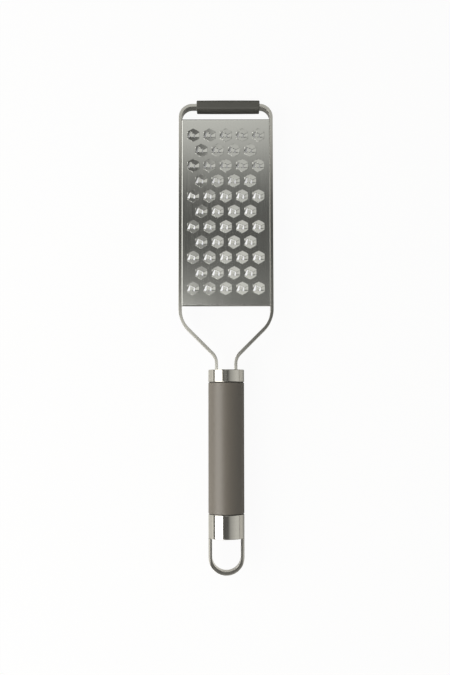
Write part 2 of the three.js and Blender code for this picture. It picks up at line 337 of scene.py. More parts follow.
def triangles_between(loops, spare_points, is_hole):
    """Triangles that fill the first loop, keep the edges of all loops, and leave out the holes."""
    points = [Vector(point[:2]) for loop in loops for point in loop] + [Vector(p) for p in spare_points]
    edges = []
    start = 0
    for loop in loops:
        edges.extend((start + i, start + (i + 1) % len(loop)) for i in range(len(loop)))
        start += len(loop)
    flat, _, faces, *_ = delaunay_2d_cdt(points, edges, [], 0, TRIANGLE_WELD)
    kept = []
    for face in faces:
        x, y = sum((flat[i] for i in face), Vector((0, 0))) / len(face)
        if not is_hole(x, y):
            kept.append(face)
    return flat, kept


def make_piece(skin, name, node, material, place=None):
    """The visible piece that stands for a CAD node, with smooth faces and sharp creases."""
    mesh = bpy.data.meshes.new(name)
    mesh.from_pydata(skin.points, [], skin.faces)
    if place:
        mesh.transform(place)
    shape = bmesh.new()
    shape.from_mesh(mesh)
    bmesh.ops.recalc_face_normals(shape, faces=shape.faces)
    for face in shape.faces:
        face.smooth = True
    for edge in shape.edges:
        edge.smooth = not edge.is_manifold or edge.calc_face_angle() < CREASE
    shape.to_mesh(mesh)
    shape.free()
    mesh.materials.append(material)
    piece = bpy.data.objects.new(name, mesh)
    bpy.context.scene.collection.objects.link(piece)
    evened = piece.modifiers.new("Even normals", "WEIGHTED_NORMAL")
    evened.keep_sharp = True
    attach(piece, BODY)
    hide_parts(node)
    return piece


def add_node(tree, kind, links=None, **settings):
    """Adds a node with its settings. A link's value is another node's socket or a plain value."""
    node = tree.nodes.new(kind)
    for setting, value in settings.items():
        setattr(node, setting, value)
    for key, value in (links or {}).items():
        if isinstance(value, bpy.types.NodeSocket):
            tree.links.new(value, node.inputs[key])
        else:
            node.inputs[key].default_value = value
    return node


def grained(name, tint, grain, depth, roughness, spread=0.06, metallic=0.0, **shader):
    """A material whose colour, gloss and surface follow one grain. The grain's sizes are in metres along
    x, y and z, the depth is the relief in metres, and roughness is its range."""
    material = bpy.data.materials.new(name)
    material.use_nodes = True
    tree = material.node_tree
    tree.nodes.clear()
    place = add_node(tree, "ShaderNodeTexCoord")
    stretch = add_node(
        tree,
        "ShaderNodeMapping",
        {"Vector": place.outputs["Object"], "Scale": tuple(1 / size for size in grain)},
    )
    noise = add_node(
        tree,
        "ShaderNodeTexNoise",
        {
            "Vector": stretch.outputs["Vector"],
            "Scale": 1.0,
            "Detail": NOISE_DETAIL,
            "Roughness": NOISE_ROUGHNESS,
        },
    )

    def ranged(least, most):
        limits = {"From Min": NOISE_LOW, "From Max": NOISE_HIGH, "To Min": least, "To Max": most}
        node = add_node(tree, "ShaderNodeMapRange", {"Value": noise.outputs["Fac"], **limits})
        return node.outputs["Result"]

    shade = add_node(
        tree,
        "ShaderNodeVectorMath",
        {0: tuple(tint), 1: ranged(1 - spread, 1 + spread)},
        operation="MULTIPLY",
    )
    relief = add_node(
        tree,
        "ShaderNodeBump",
        {"Height": noise.outputs["Fac"], "Distance": depth, "Strength": 1.0},
    )
    surface = add_node(
        tree,
        "ShaderNodeBsdfPrincipled",
        {
            "Base Color": shade.outputs["Vector"],
            "Roughness": ranged(*roughness),
            "Normal": relief.outputs["Normal"],
            "Metallic": metallic,
            **shader,
        },
    )
    add_node(tree, "ShaderNodeOutputMaterial", {"Surface": surface.outputs["BSDF"]})
    return material


def arc_stations(x, y, radius, start, end):
    """Places and headings along an arc."""
    steps = max(1, math.ceil(abs(end - start) / ARC_STEP))
    quarter = math.copysign(math.pi / 2, end - start)
    stations = []
    for step in range(steps + 1):
        angle = start + (end - start) * step / steps
        stations.append((x + radius * math.cos(angle), y + radius * math.sin(angle), angle + quarter))
    return stations


def bar_stations(bar):
    """The bar's middle line from the left tail over the top to the right tail."""
    rail = STRIP_BOX[1].x - bar.thickness / 2
    tail = bar.tail_spacing / 2
    radii = bar.neck_lower + bar.neck_upper
    slope = (rail - tail - radii * (1 - math.cos(bar.neck_angle))) / math.sin(bar.neck_angle)
    neck_top = bar.neck_straight + slope * math.cos(bar.neck_angle) + radii * math.sin(bar.neck_angle)
    left = [
        (-tail, STRIP_BOX[0].y, math.pi / 2),
        *arc_stations(-tail - bar.neck_lower, bar.neck_straight, bar.neck_lower, 0, bar.neck_angle),
        *arc_stations(bar.neck_upper - rail, neck_top, bar.neck_upper, math.pi + bar.neck_angle, math.pi),
        *arc_stations(bar.corner - rail, TOP_BAR_REACH - bar.corner, bar.corner, math.pi, math.pi / 2),
    ]
    right = [(-x, y, -heading) for x, y, heading in reversed(left)]
    return left + right


class GRATER_OT_frame_strip(bpy.types.Operator):
    """Sweeps the flat bar's rounded section along its bent line"""

    bl_idname = "grater.frame_strip"
    bl_label = "Frame strip"

    def execute(self, context):
        bar = context.scene.grater_bar
        section = rounded_rectangle(bar.thickness / 2, STRIP_BOX[1].z, bar.edge)
        loops = []
        for x, y, heading in bar_stations(bar):
            out_x, out_y = -math.sin(heading), math.cos(heading)
            loops.append([(x + out_x * across, y + out_y * across, z) for across, z in section])
        skin = Skin()
        skin.tube(loops)
        skin.face(*loops[0])
        skin.face(*loops[-1])
        # Stainless flat bar, drawn and satin finished: an even grain that softens the highlights a little.
        # The real grain is about 0.06 mm, and is drawn ten times as wide so that it shows
        steel = grained(
            "Stainless bar, satin drawn",
            bar.steel,
            grain=(0.6 * MM, 0.6 * MM, 0.6 * MM),
            depth=0.0004 * MM,
            roughness=(0.09, 0.12),
            spread=0.02,
            metallic=1.0,
        )
        make_piece(skin, "satin_frame_strip", "frame_strip", steel, FRAME_PLACE)
        return {"FINISHED"}


def tooth_centres(plate):
    low, high = PLATE_BOX
    column_pitch = (high.x - low.x - 2 * plate.side_margin) / (plate.columns - 1)
    row_pitch = (high.y - low.y - plate.foot_margin - plate.neck_margin) / (plate.rows - 1)
    centres = []
    for row in range(plate.rows):
        count = plate.columns - row % 2
        y = high.y - plate.foot_margin - row * row_pitch
        centres.extend(((column - (count - 1) / 2) * column_pitch, y) for column in range(count))
    return centres


def edge_distance(plate, x, y):
    """How far a point lies inside a tooth's rounded hexagon."""
    flat = plate.tooth_width / 2 - plate.tooth_corner
    x, y = abs(y), abs(x)
    fold = 2 * min(HEX_COSINE * y - HEX_SINE * x, 0)
    x, y = x + fold * HEX_SINE, y - fold * HEX_COSINE
    side = flat / math.sqrt(3)
    x, y = x - max(-side, min(x, side)), y - flat
    return plate.tooth_corner - math.copysign(math.hypot(x, y), y)


def lip_place(plate, lip, x):
    """Place along the length of a lip's edge at x, both from the tooth's centre."""
    share = x / plate.tooth_width
    (x0, y0), (x1, y1) = next(span for span in zip(lip, lip[1:]) if share <= span[1][0])
    return plate.tooth_width * (y0 + (y1 - y0) * (share - x0) / (x1 - x0))


def tooth_lift(plate, x, y):
    """Height of a tooth over the sheet: two slopes to a ridge, a ledge sunk between their zigzag lips, and
    steep sides all round."""
    reach = plate.tooth_width / math.sqrt(3)
    slope = plate.tooth_height * (reach - abs(y)) / (reach - plate.tooth_top)
    roof = soft_least(slope, plate.tooth_height, TOP_BLEND)
    between = min(lip_place(plate, UPPER_LIP, x) - y, y - lip_place(plate, LOWER_LIP, x))
    sunk = max(0, min(between / LIP_STEP + 0.5, 1))
    ledge = plate.ledge_height - y * math.tan(plate.ledge_tilt)
    roof -= sunk * max(roof - ledge, 0)
    side = plate.tooth_side * max(edge_distance(plate, x, y), 0)
    return max(0, soft_least(roof, side, SIDE_BLEND))


def soft_least(first, second, blend):
    """The lesser of two heights, rounded over a blend where they meet."""
    overlap = max(blend - abs(first - second), 0) / blend
    return min(first, second) - overlap * overlap * blend / 4


def tooth_tile(plate):
    """Outline, slot and raised triangles of one tooth about its own centre."""
    width = plate.tooth_width
    reach = width / math.sqrt(3)
    turns = [math.radians(60 * corner) for corner in reversed(range(6))]
    hexagon = [(reach * math.sin(turn), reach * math.cos(turn), plate.tooth_corner) for turn in turns]
    outline = refined(eased(hexagon), OUTLINE_STEP)
    slot = refined([(x * width, y * width) for x, y in SLOT_OUTLINE], SLOT_STEP)

    def clear_of_slot(points, room):
        return [p for p in points if not inside(slot, *p) and min((p - q).length for q in slot) > room]

    rings = [point * (1 - 2 * inset / width) for inset in RING_INSETS for point in outline]
    steps = math.ceil(reach / LATTICE_PITCH)
    lattice = [
        Vector(((column + row % 2 / 2) * LATTICE_PITCH, row * LATTICE_PITCH * HEX_SINE))
        for row in range(-steps, steps + 1)
        for column in range(-steps, steps + 1)
    ]
    within = [p for p in lattice if edge_distance(plate, *p) > RIM_ROOM]
    lips = []
    for lip in (UPPER_LIP, LOWER_LIP):
        for step in range(-LIP_POINTS, LIP_POINTS + 1):
            x = step * LIP_PITCH
            y = lip_place(plate, lip, x)
            lips.extend((Vector((x, y - LIP_STEP / 2)), Vector((x, y + LIP_STEP / 2))))
    loose = clear_of_slot(rings + within, SLOT_ROOM) + clear_of_slot(lips, LIP_ROOM)
    flat, faces = triangles_between([outline, slot], loose, lambda x, y: inside(slot, x, y))
    lifts = [tooth_lift(plate, *point) for point in flat]
    slot_lifts = [tooth_lift(plate, *point) for point in slot]
    return outline, slot, slot_lifts, flat, lifts, faces


def sheet_border(plate):
    """Points round the plate's level part, each with the way that its edge folds."""
    low, high = PLATE_BOX
    x = high.x - plate.bend
    neck_y, foot_y = low.y + plate.bend, high.y - plate.bend
    corners = [(x, neck_y, 1, -1), (x, foot_y, 1, 1), (-x, foot_y, -1, 1), (-x, neck_y, -1, -1)]
    border = []
    for (x0, y0, fx0, fy0), (x1, y1, fx1, fy1) in zip(corners, corners[1:] + corners[:1]):
        start, end = Vector((x0, y0)), Vector((x1, y1))
        span = (end - start).length
        parts = round(span / BORDER_STEP)
        notch = CORNER_NOTCH / span
        shares = [notch, *(part / parts for part in range(1, parts)), 1 - notch]
        border.append((start, fx0, fy0))
        fold = (fx0, 0) if fx0 == fx1 else (0, fy0)
        border.extend((start.lerp(end, share), *fold) for share in shares)
    return border


def fold_sheet(skin, plate, border):
    """The bends, end lips and side flanges round the plate."""
    flange_z = PLATE_BOX[0].z
    lip_z = PLATE_FACE - plate.lip

    def loop(out, z):
        return [(point.x + fold_x * out, point.y + fold_y * out, z) for point, fold_x, fold_y in border]

    walls = []
    for radius in (plate.bend, plate.bend - plate.sheet):
        loops = []
        for step in range(FOLD_STEPS + 1):
            angle = math.pi / 2 * step / FOLD_STEPS
            loops.append(loop(radius * math.sin(angle), PLATE_FACE - plate.bend + radius * math.cos(angle)))
        loops.append(loop(radius, lip_z))
        skin.tube(loops)
        walls.append((loops[-1], loop(radius, flange_z)))
    (outer, outer_low), (inner, inner_low) = walls
    for i in range(len(border)):
        on_side = [abs(border[k][1]) == 1 and border[k][2] == 0 for k in (i - 1, i)]
        if all(on_side):
            skin.face(outer[i - 1], outer[i], outer_low[i], outer_low[i - 1])
            skin.face(inner[i - 1], inner[i], inner_low[i], inner_low[i - 1])
            skin.face(outer_low[i - 1], outer_low[i], inner_low[i], inner_low[i - 1])
            continue
        skin.face(outer[i - 1], outer[i], inner[i], inner[i - 1])
        if any(on_side):
            k = i if on_side[1] else i - 1
            skin.face(outer[k], outer_low[k], inner_low[k], inner[k])


class GRATER_OT_grating_plate(bpy.types.Operator):
    """Folds the sheet and raises its rows of slotted teeth"""

    bl_idname = "grater.grating_plate"
    bl_label = "Grating plate"

    def execute(self, context):
        plate = context.scene.grater_plate
        centres = tooth_centres(plate)
        outline, slot, slot_lifts, flat, lifts, faces = tooth_tile(plate)
        border = sheet_border(plate)
        skin = Skin()
        levels = (PLATE_FACE, PLATE_FACE - plate.sheet)
        for x, y in centres:
            for level in levels:
                places = [(x + p.x, y + p.y, level + lift) for p, lift in zip(flat, lifts)]
                for face in faces:
                    skin.face(*(places[i] for i in face))
            walls = [
                [(x + p.x, y + p.y, level + lift) for p, lift in zip(slot, slot_lifts)] for level in levels
            ]
            skin.band(*walls)
        holes = [[p + Vector(centre) for p in outline] for centre in centres]

        def in_tooth(x, y):
            return any(edge_distance(plate, x - cx, y - cy) > 0 for cx, cy in centres)

        # A row of points just inside the folds keeps their curve out of the level sheet's shading
        level_rim = [point - LEVEL_STRIP * Vector((fold_x, fold_y)) for point, fold_x, fold_y in border]
        web, web_faces = triangles_between([[point for point, *_ in border], *holes], level_rim, in_tooth)
        for level in levels:
            for face in web_faces:
                skin.face(*((web[i].x, web[i].y, level) for i in face))
        fold_sheet(skin, plate, border)
        # Stainless sheet, fine brushed along its length. The real lines are about 0.1 mm apart, and are drawn
        # eight times as wide so that they show
        steel = grained(
            "Stainless sheet, fine brushed",
            plate.steel,
            grain=(0.8 * MM, 40 * MM, 0.8 * MM),
            depth=0.0008 * MM,
            roughness=(0.09, 0.12),
            spread=0.025,
            metallic=1.0,
        )
        piece = make_piece(skin, "brushed_grating_plate", "grating_plate", steel, FRAME_PLACE)
        # The same sheet where the die has pressed and burnished it: nearly a mirror
        burnished = grained(
            "Stainless teeth, pressed bright",
            plate.steel,
            grain=(0.8 * MM, 40 * MM, 0.8 * MM),
            depth=0.0002 * MM,
            roughness=(0.05, 0.08),
            spread=0.025,
            metallic=1.0,
        )
        piece.data.materials.append(burnished)
        back = FRAME_PLACE.inverted()
        for polygon in piece.data.polygons:
            if (back @ polygon.center).z > PLATE_FACE + BURNISHED_ABOVE:
                polygon.material_index = 1
        return {"FINISHED"}


class GRATER_OT_foot_sleeve(bpy.types.Operator):
    """Moulds the soft foot round the top bar"""

    bl_idname = "grater.foot_sleeve"
    bl_label = "Foot sleeve"

    def execute(self, context):
        foot = context.scene.grater_foot
        bar = context.scene.grater_bar
        centre = middle_of(FOOT_BOX)
        half = (FOOT_BOX[1] - FOOT_BOX[0]) / 2

        def outline(x, inset):
            thin = inset + foot.slack * (x / half.x) ** 2
            section = rounded_rectangle(half.y - thin, half.z - inset, foot.rounding - inset)
            return [(centre.x + x, centre.y + y, centre.z + z) for y, z in section]

        ends = []
        for step in range(CORNER_STEPS + 1):
            angle = math.pi / 2 * step / CORNER_STEPS
            ends.append((half.x - foot.edge * (1 - math.cos(angle)), foot.edge * (1 - math.sin(angle))))
        level = half.x - foot.edge
        spread = [(level * part / FOOT_PARTS, 0) for part in range(1 - FOOT_PARTS, FOOT_PARTS)]
        stations = [(-x, inset) for x, inset in ends] + spread + [(x, inset) for x, inset in reversed(ends)]
        loops = [outline(x, inset) for x, inset in stations]
        bore = rounded_rectangle(
            bar.thickness / 2 + foot.wall_fit, STRIP_BOX[1].z + foot.wall_fit, BORE_EASE
        )
        turned_bore = [
            (y * math.cos(DIP) + z * math.sin(DIP), z * math.cos(DIP) - y * math.sin(DIP)) for y, z in bore
        ]
        mouths = [
            [(centre.x + x, centre.y + y, centre.z + z) for y, z in turned_bore] for x in (-half.x, half.x)
        ]
        skin = Skin()
        skin.tube([mouths[0], *loops, mouths[1], mouths[0]])
        # Thermoplastic rubber, moulded with a fine matt grain: dark, dull and soft in its highlights.
        # The real grain is about 0.07 mm, and is drawn ten times as wide so that it shows
        rubber = grained(
            "Thermoplastic rubber, matt moulded",
            foot.rubber,
            grain=(0.7 * MM, 0.7 * MM, 0.7 * MM),
            depth=0.012 * MM,
            roughness=(0.55, 0.68),
            spread=0.05,
            IOR=1.5,
        )
        make_piece(skin, "moulded_foot_sleeve", "foot_sleeve", rubber)
        return {"FINISHED"}


def circle(radius, y):
    """A loop of points round the handle's axis."""
    loop = []
    for facet in range(TURN_FACETS):
        angle = 2 * math.pi * facet / TURN_FACETS
        loop.append((radius * math.cos(angle), y, AXIS_Z + radius * math.sin(angle)))
    return loop


def turned_loops(corners):
    """Loops of a closed profile, given as radius, place along the handle and easing, round the axis."""
    return [circle(radius, y) for radius, y in eased(corners)]


def pierced_disc(skin, rim, windows):
    """A flat end with its windows left open."""
    y = rim[0][1]
    loops = [[(x, z) for x, _, z in rim], *windows]
    flat, faces = triangles_between(
        loops, [], lambda x, z: any(inside(window, x, z) for window in windows)
    )
    for face in faces:
        skin.face(*((flat[i].x, y, flat[i].y) for i in face))


def ferrule_wall(handle, low, high):
    """Loops of a ferrule's eased outer wall, between the lowest and highest corner of its CAD node."""
    loops = turned_loops([
        (handle.bore, low.y, FERRULE_INNER_EASE),
        (HANDLE_RADIUS, low.y, handle.ferrule_edge),
        (HANDLE_RADIUS, high.y, handle.ferrule_edge),
        (handle.bore, high.y, FERRULE_INNER_EASE),
    ])
    return loops[CORNER_STEPS + 1:-CORNER_STEPS - 1]


def tail_windows(handle, bar):
    """Outlines of the two windows that the tails pass through."""
    half_x = bar.thickness / 2 + handle.window_fit
    half_z = STRIP_BOX[1].z + handle.window_fit
    outline = rounded_rectangle(half_x, half_z, WINDOW_EASE)
    tails = (-bar.tail_spacing / 2, bar.tail_spacing / 2)
    return [[(x + dx, AXIS_Z + dz) for dx, dz in outline] for x in tails]


class GRATER_OT_ferrules(bpy.types.Operator):
    """Turns the two polished ferrules, the upper one with windows for the tails"""

    bl_idname = "grater.ferrules"
    bl_label = "Ferrules"

    def execute(self, context):
        handle = context.scene.grater_handle
        # Stainless steel, turned and mirror polished: sharp bands of reflection, faintly drawn out by turning
        # lines. The real lines are finer, and are drawn 0.7 mm apart so that they show
        steel = grained(
            "Stainless steel, turned and polished",
            handle.ferrule_steel,
            grain=(25 * MM, 0.7 * MM, 25 * MM),
            depth=0.0006 * MM,
            roughness=(0.09, 0.13),
            spread=0.025,
            metallic=1.0,
        )

        low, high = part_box("upper_ferrule")
        wall = ferrule_wall(handle, low, high)
        wall_y = high.y - handle.upper_wall
        inner_end = circle(handle.bore, wall_y)
        windows = tail_windows(handle, context.scene.grater_bar)
        skin = Skin()
        skin.tube([inner_end, circle(handle.bore, low.y), *wall])
        pierced_disc(skin, wall[-1], windows)
        pierced_disc(skin, inner_end, windows)
        for window in windows:
            skin.band([(x, high.y, z) for x, z in window], [(x, wall_y, z) for x, z in window])
        make_piece(skin, "polished_upper_ferrule", "upper_ferrule", steel)

        low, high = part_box("lower_ferrule")
        wall = ferrule_wall(handle, low, high)
        inner_end = circle(handle.bore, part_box("core_tube")[0].y)
        skin = Skin()
        skin.tube([*wall, circle(handle.bore, high.y), inner_end])
        skin.face(*wall[0])
        skin.face(*inner_end)
        make_piece(skin, "polished_lower_ferrule", "lower_ferrule", steel)
        return {"FINISHED"}


class GRATER_OT_hang_loop(bpy.types.Operator):
    """Bends the hanging loop's strap, with its legs rounded as the handle is"""

    bl_idname = "grater.hang_loop"
    bl_label = "Hanging loop"

    def execute(self, context):
        handle = context.scene.grater_handle
        low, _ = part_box("hang_loop")
        seat_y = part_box("lower_ferrule")[0].y
        bend_y = low.y + HANDLE_RADIUS
        inner = HANDLE_RADIUS - handle.loop_strap
        section = rounded_rectangle(handle.loop_strap / 2, handle.loop_depth / 2, handle.loop_edge)
        steps = math.ceil(math.pi / ARC_STEP)
        stations = [(seat_y, math.pi)]
        stations.extend((bend_y, math.pi + math.pi * step / steps) for step in range(steps + 1))
        stations.append((seat_y, 2 * math.pi))
        fine = []
        for across, z in refined(section, STRAP_STEP):
            fine.append(((across + handle.loop_strap / 2) / handle.loop_strap, z))
        loops = []
        for y, angle in stations:
            way_x, way_y = math.cos(angle), math.sin(angle)
            loop = []
            for share, z in fine:
                rounded = math.sqrt(HANDLE_RADIUS ** 2 - z ** 2) / max(abs(way_x), ALMOST_ZERO)
                reach = inner + share * (min(HANDLE_RADIUS, rounded) - inner)
                loop.append((way_x * reach, y + way_y * reach, AXIS_Z + z))
            loops.append(loop)
        skin = Skin()
        skin.tube(loops)
        skin.face(*loops[0])
        skin.face(*loops[-1])
        # Stainless strap, bent and polished: bright, with soft streaks along the strap. The real streaks are
        # finer, and are drawn 0.8 mm apart so that they show
        steel = grained(
            "Stainless strap, bent and polished",
            handle.ferrule_steel,
            grain=(0.8 * MM, 6 * MM, 0.8 * MM),
            depth=0.001 * MM,
            roughness=(0.13, 0.19),
            spread=0.03,
            metallic=1.0,
        )
        make_piece(skin, "polished_hang_loop", "hang_loop", steel)
        return {"FINISHED"}


def ring_piece(handle, node, edge, name, material):
    """A plain sleeve or ring round the handle's axis, in the place of its CAD node."""
    low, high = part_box(node)
    outer = high.x
    skin = Skin()
    loops = turned_loops([
        (handle.bore, low.y, RING_INNER_EASE),
        (outer, low.y, edge),
        (outer, high.y, edge),
        (handle.bore, high.y, RING_INNER_EASE),
    ])
    skin.tube([*loops, loops[0]])
    make_piece(skin, name, node, material)


class GRATER_OT_grip_sleeve(bpy.types.Operator):
    """Moulds the matt grip"""

    bl_idname = "grater.grip_sleeve"
    bl_label = "Grip sleeve"

    def execute(self, context):
        handle = context.scene.grater_handle
        # ABS, moulded in a spark-eroded tool: warm grey, matt, with a broad soft highlight. The real grain is
        # about 0.05 mm, and is drawn ten times as wide so that it shows
        plastic = grained(
            "ABS, fine matt moulded",
            handle.grip_plastic,
            grain=(0.5 * MM, 0.5 * MM, 0.5 * MM),
            depth=0.01 * MM,
            roughness=(0.4, 0.47),
            spread=0.03,
            IOR=1.54,
        )
        ring_piece(handle, "grip_sleeve", handle.grip_edge, "moulded_grip_sleeve", plastic)
        return {"FINISHED"}


class GRATER_OT_seal_rings(bpy.types.Operator):
    """Sets the thin dark rings between the grip and the ferrules"""

    bl_idname = "grater.seal_rings"
    bl_label = "Seal rings"

    def execute(self, context):
        handle = context.scene.grater_handle
        # Nitrile rubber, cut from tube: black and dull. Its grain is drawn 0.4 mm wide so that it shows
        rubber = grained(
            "Nitrile rubber, cut ring",
            handle.seal_rubber,
            grain=(0.4 * MM, 0.4 * MM, 0.4 * MM),
            depth=0.01 * MM,
            roughness=(0.6, 0.75),
            IOR=1.52,
        )
        for end in ("upper", "lower"):
            node = f"{end}_seal_ring"
            ring_piece(handle, node, SEAL_EDGE, f"rubber_{node}", rubber)
        return {"FINISHED"}


class GRATER_OT_inner_parts(bpy.types.Operator):
    """Gives the hidden tube and block their materials"""

    bl_idname = "grater.inner_parts"
    bl_label = "Inner parts"

    def execute(self, context):
        # Stainless tube, cold drawn: dull, with lines along it
        tube = grained(
            "Stainless tube, cold drawn",
            linear("B4B3AE"),
            grain=(0.8 * MM, 20 * MM, 0.8 * MM),
            depth=0.004 * MM,
            roughness=(0.35, 0.45),
            metallic=1.0,
        )
        # Nylon in its natural colour, moulded: off-white and waxy
        block = grained(
            "Natural nylon, moulded",
            linear("D8D5CC"),
            grain=(1.5 * MM, 1.5 * MM, 1.5 * MM),
            depth=0.01 * MM,
            roughness=(0.45, 0.55),
            IOR=1.53,
        )
        inner_parts = (("core_tube", tube, "tube_steel"), ("tail_block", block, "block_plastic"))
        for node, material, slot_name in inner_parts:
            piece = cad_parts[node]
            piece.data.materials.clear()
            piece.data.materials.append(material)
        return {"FINISHED"}


def stage_mesh(name, corners, material):
    """A flat piece of the stage, which isn't part of the grater."""
    mesh = bpy.data.meshes.new(name)
    mesh.from_pydata(corners, [], [tuple(range(len(corners)))])
    mesh.materials.append(material)
    prop = bpy.data.objects.new(name, mesh)
    bpy.context.scene.collection.objects.link(prop)
    return prop


def painted_shade_under_plate(tree):
    """Share of painted shade on the floor below the plate's far end, which lies close over it. It is set by
    position, and takes white away so that the real shadow there shows.
    """
    far = (FRAME_PLACE @ Vector((0, PLATE_BOX[1].y, PLATE_FACE))).y
    side = PLATE_BOX[1].x
    place = add_node(tree, "ShaderNodeTexCoord")
    axes = add_node(tree, "ShaderNodeSeparateXYZ", {"Vector": place.outputs["Object"]})
    aside = add_node(tree, "ShaderNodeMath", {0: axes.outputs["X"]}, operation="ABSOLUTE")
    spans = (
        (aside.outputs["Value"], side, side - SHADE_EDGE),
        (axes.outputs["Y"], far, far - SHADE_EDGE),
        (axes.outputs["Y"], far - SHADE_LENGTH, far - SHADE_LENGTH + SHADE_FADE),
    )
    shade = 1.0
    for value, none, full in spans:
        share = add_node(tree, "ShaderNodeMapRange", {"Value": value, "From Min": none, "From Max": full})
        sides = {0: shade, 1: share.outputs["Result"]}
        shade = add_node(tree, "ShaderNodeMath", sides, operation="MULTIPLY").outputs["Value"]
    return shade


def make_floor(stage):
    """A pale floor: nearly plain white to the eye, with a share of real shade for the shadow. Below the
    plate's far end a painted shade, set by position, takes more of the white away so that more of the real
    shadow shows.
    Reflections get less of the white."""
    material = bpy.data.materials.new("White card, matt")
    material.use_nodes = True
    tree = material.node_tree
    tree.nodes.clear()
    rays = add_node(tree, "ShaderNodeLightPath")
    mirrored = add_node(
        tree,
        "ShaderNodeMath",
        {0: rays.outputs["Is Glossy Ray"], 1: rays.outputs["Is Transmission Ray"]},
        operation="MAXIMUM",
    )
    dimmed = add_node(
        tree, "ShaderNodeMath", {0: mirrored.outputs["Value"], 1: stage.mirrored_glow}, operation="MULTIPLY"
    )
    # Painted shade: the white falls away below the plate's far end, so that the real shadow there shows
    lit = add_node(
        tree,
        "ShaderNodeMath",
        {0: painted_shade_under_plate(tree), 1: -SHADE_DEPTH * stage.floor_glow, 2: stage.floor_glow},
        operation="MULTIPLY_ADD",
    )
    direct = add_node(
        tree,
        "ShaderNodeMath",
        {0: rays.outputs["Is Camera Ray"], 1: lit.outputs["Value"]},
        operation="MULTIPLY",
    )
    share = add_node(
        tree,
        "ShaderNodeMath",
        {0: direct.outputs["Value"], 1: dimmed.outputs["Value"]},
        operation="MAXIMUM",
    )
    card = add_node(tree, "ShaderNodeBsdfDiffuse", {"Color": (*stage.floor, 1)})
    white = add_node(tree, "ShaderNodeEmission", {"Color": (1, 1, 1, 1), "Strength": 1.0})
    mixed = add_node(
        tree,
        "ShaderNodeMixShader",
        {0: share.outputs["Value"], 1: card.outputs["BSDF"], 2: white.outputs["Emission"]},
    )
    add_node(tree, "ShaderNodeOutputMaterial", {"Surface": mixed.outputs["Shader"]})
    reach = 6
    just_below = -0.1 * MM
    plan = ((-reach, -reach), (reach, -reach), (reach, reach), (-reach, reach))
    corners = [(x, y, just_below) for x, y in plan]
    stage_mesh("floor", corners, material)


def set_ramp(node, tones):
    """Sets a ramp's places and their grey tones."""
    elements = node.color_ramp.elements
    middle = 0.5
    while len(elements) < len(tones):
        elements.new(middle)
    for element, (place, tone) in zip(elements, tones):
        element.position = place
        element.color = (tone, tone, tone, 1)


# The studio's cards, glow and lamps. Each has two rows of tones by the angle from straight up, in degrees:
# one along the grater and one across it. Its light is the product of the two, and the ceiling's is the least
WALL = ((-40, 0.1), (-18, 1), (20, 1), (42, 0.1)), ((4, 0), (27, 0.45), (47, 0.61), (70, 0.745), (90, 0.72))
TOP_CARD = (
    ((12, 0), (13.5, 0.1), (14.8, 0.3), (16, 0.65), (17.2, 0.9), (19, 1), (24, 0.85), (38, 0.85), (41, 0)),
    ((-12, 0), (-8, 0.9), (-1, 1), (2, 0.9), (10, 0.8), (16, 0)),
)
END_CARDS = (
    ((-36, 0), (-33, 0.92), (-27, 0.92), (-18, 0.68), (-15, 0.5), (-11, 0.3), (-8, 0.2), (-7, 0),
     (41, 0), (43, 0.92), (46, 0.92), (54, 0.68), (58, 0.6), (61, 0)),
    ((-12, 0), (-8, 0.2), (-0.92, 0.2), (-0.83, 1.15), (-0.55, 1.15), (-0.4, 1), (10, 1), (16, 0)),
)
CORNER_CARD = (
    ((-36, 0), (-33, 0.75), (-26.5, 0.75), (-24.5, 0.45), (-22, 0),
     (42, 0), (43.5, 0.75), (46, 0.75), (48, 0.4), (50, 0)),
    ((-12, 0), (-8, 1), (-1.4, 1), (-1.15, 0)),
)
NECK_GLOW = (
    ((-4, 0), (0, 0.25), (7.5, 0.25), (8.6, 0.32), (9.6, 0.32), (11.5, 0)),
    ((-22, 0), (-15, 1), (0, 1), (0.8, 0.8), (6, 0.8), (12, 0)),
)
LEG_LAMP = (
    ((5.8, 0), (6.2, 1), (7.3, 1), (7.9, 0.3), (8.6, 0.1), (11, 0.05), (13, 0)),
    ((-7, 0), (-5, 1.8), (-1.8, 1.8), (-1.2, 1), (-0.7, 0.5), (0.2, 0.36), (2.2, 0.36), (3, 0)),
)
TAIL_LAMP = ((3.9, 0), (4.5, 3.6), (5.1, 3.6), (5.4, 0)), ((-1.8, 0), (-1.2, 1), (0.4, 1), (0.9, 0))
CEILING = 0.12


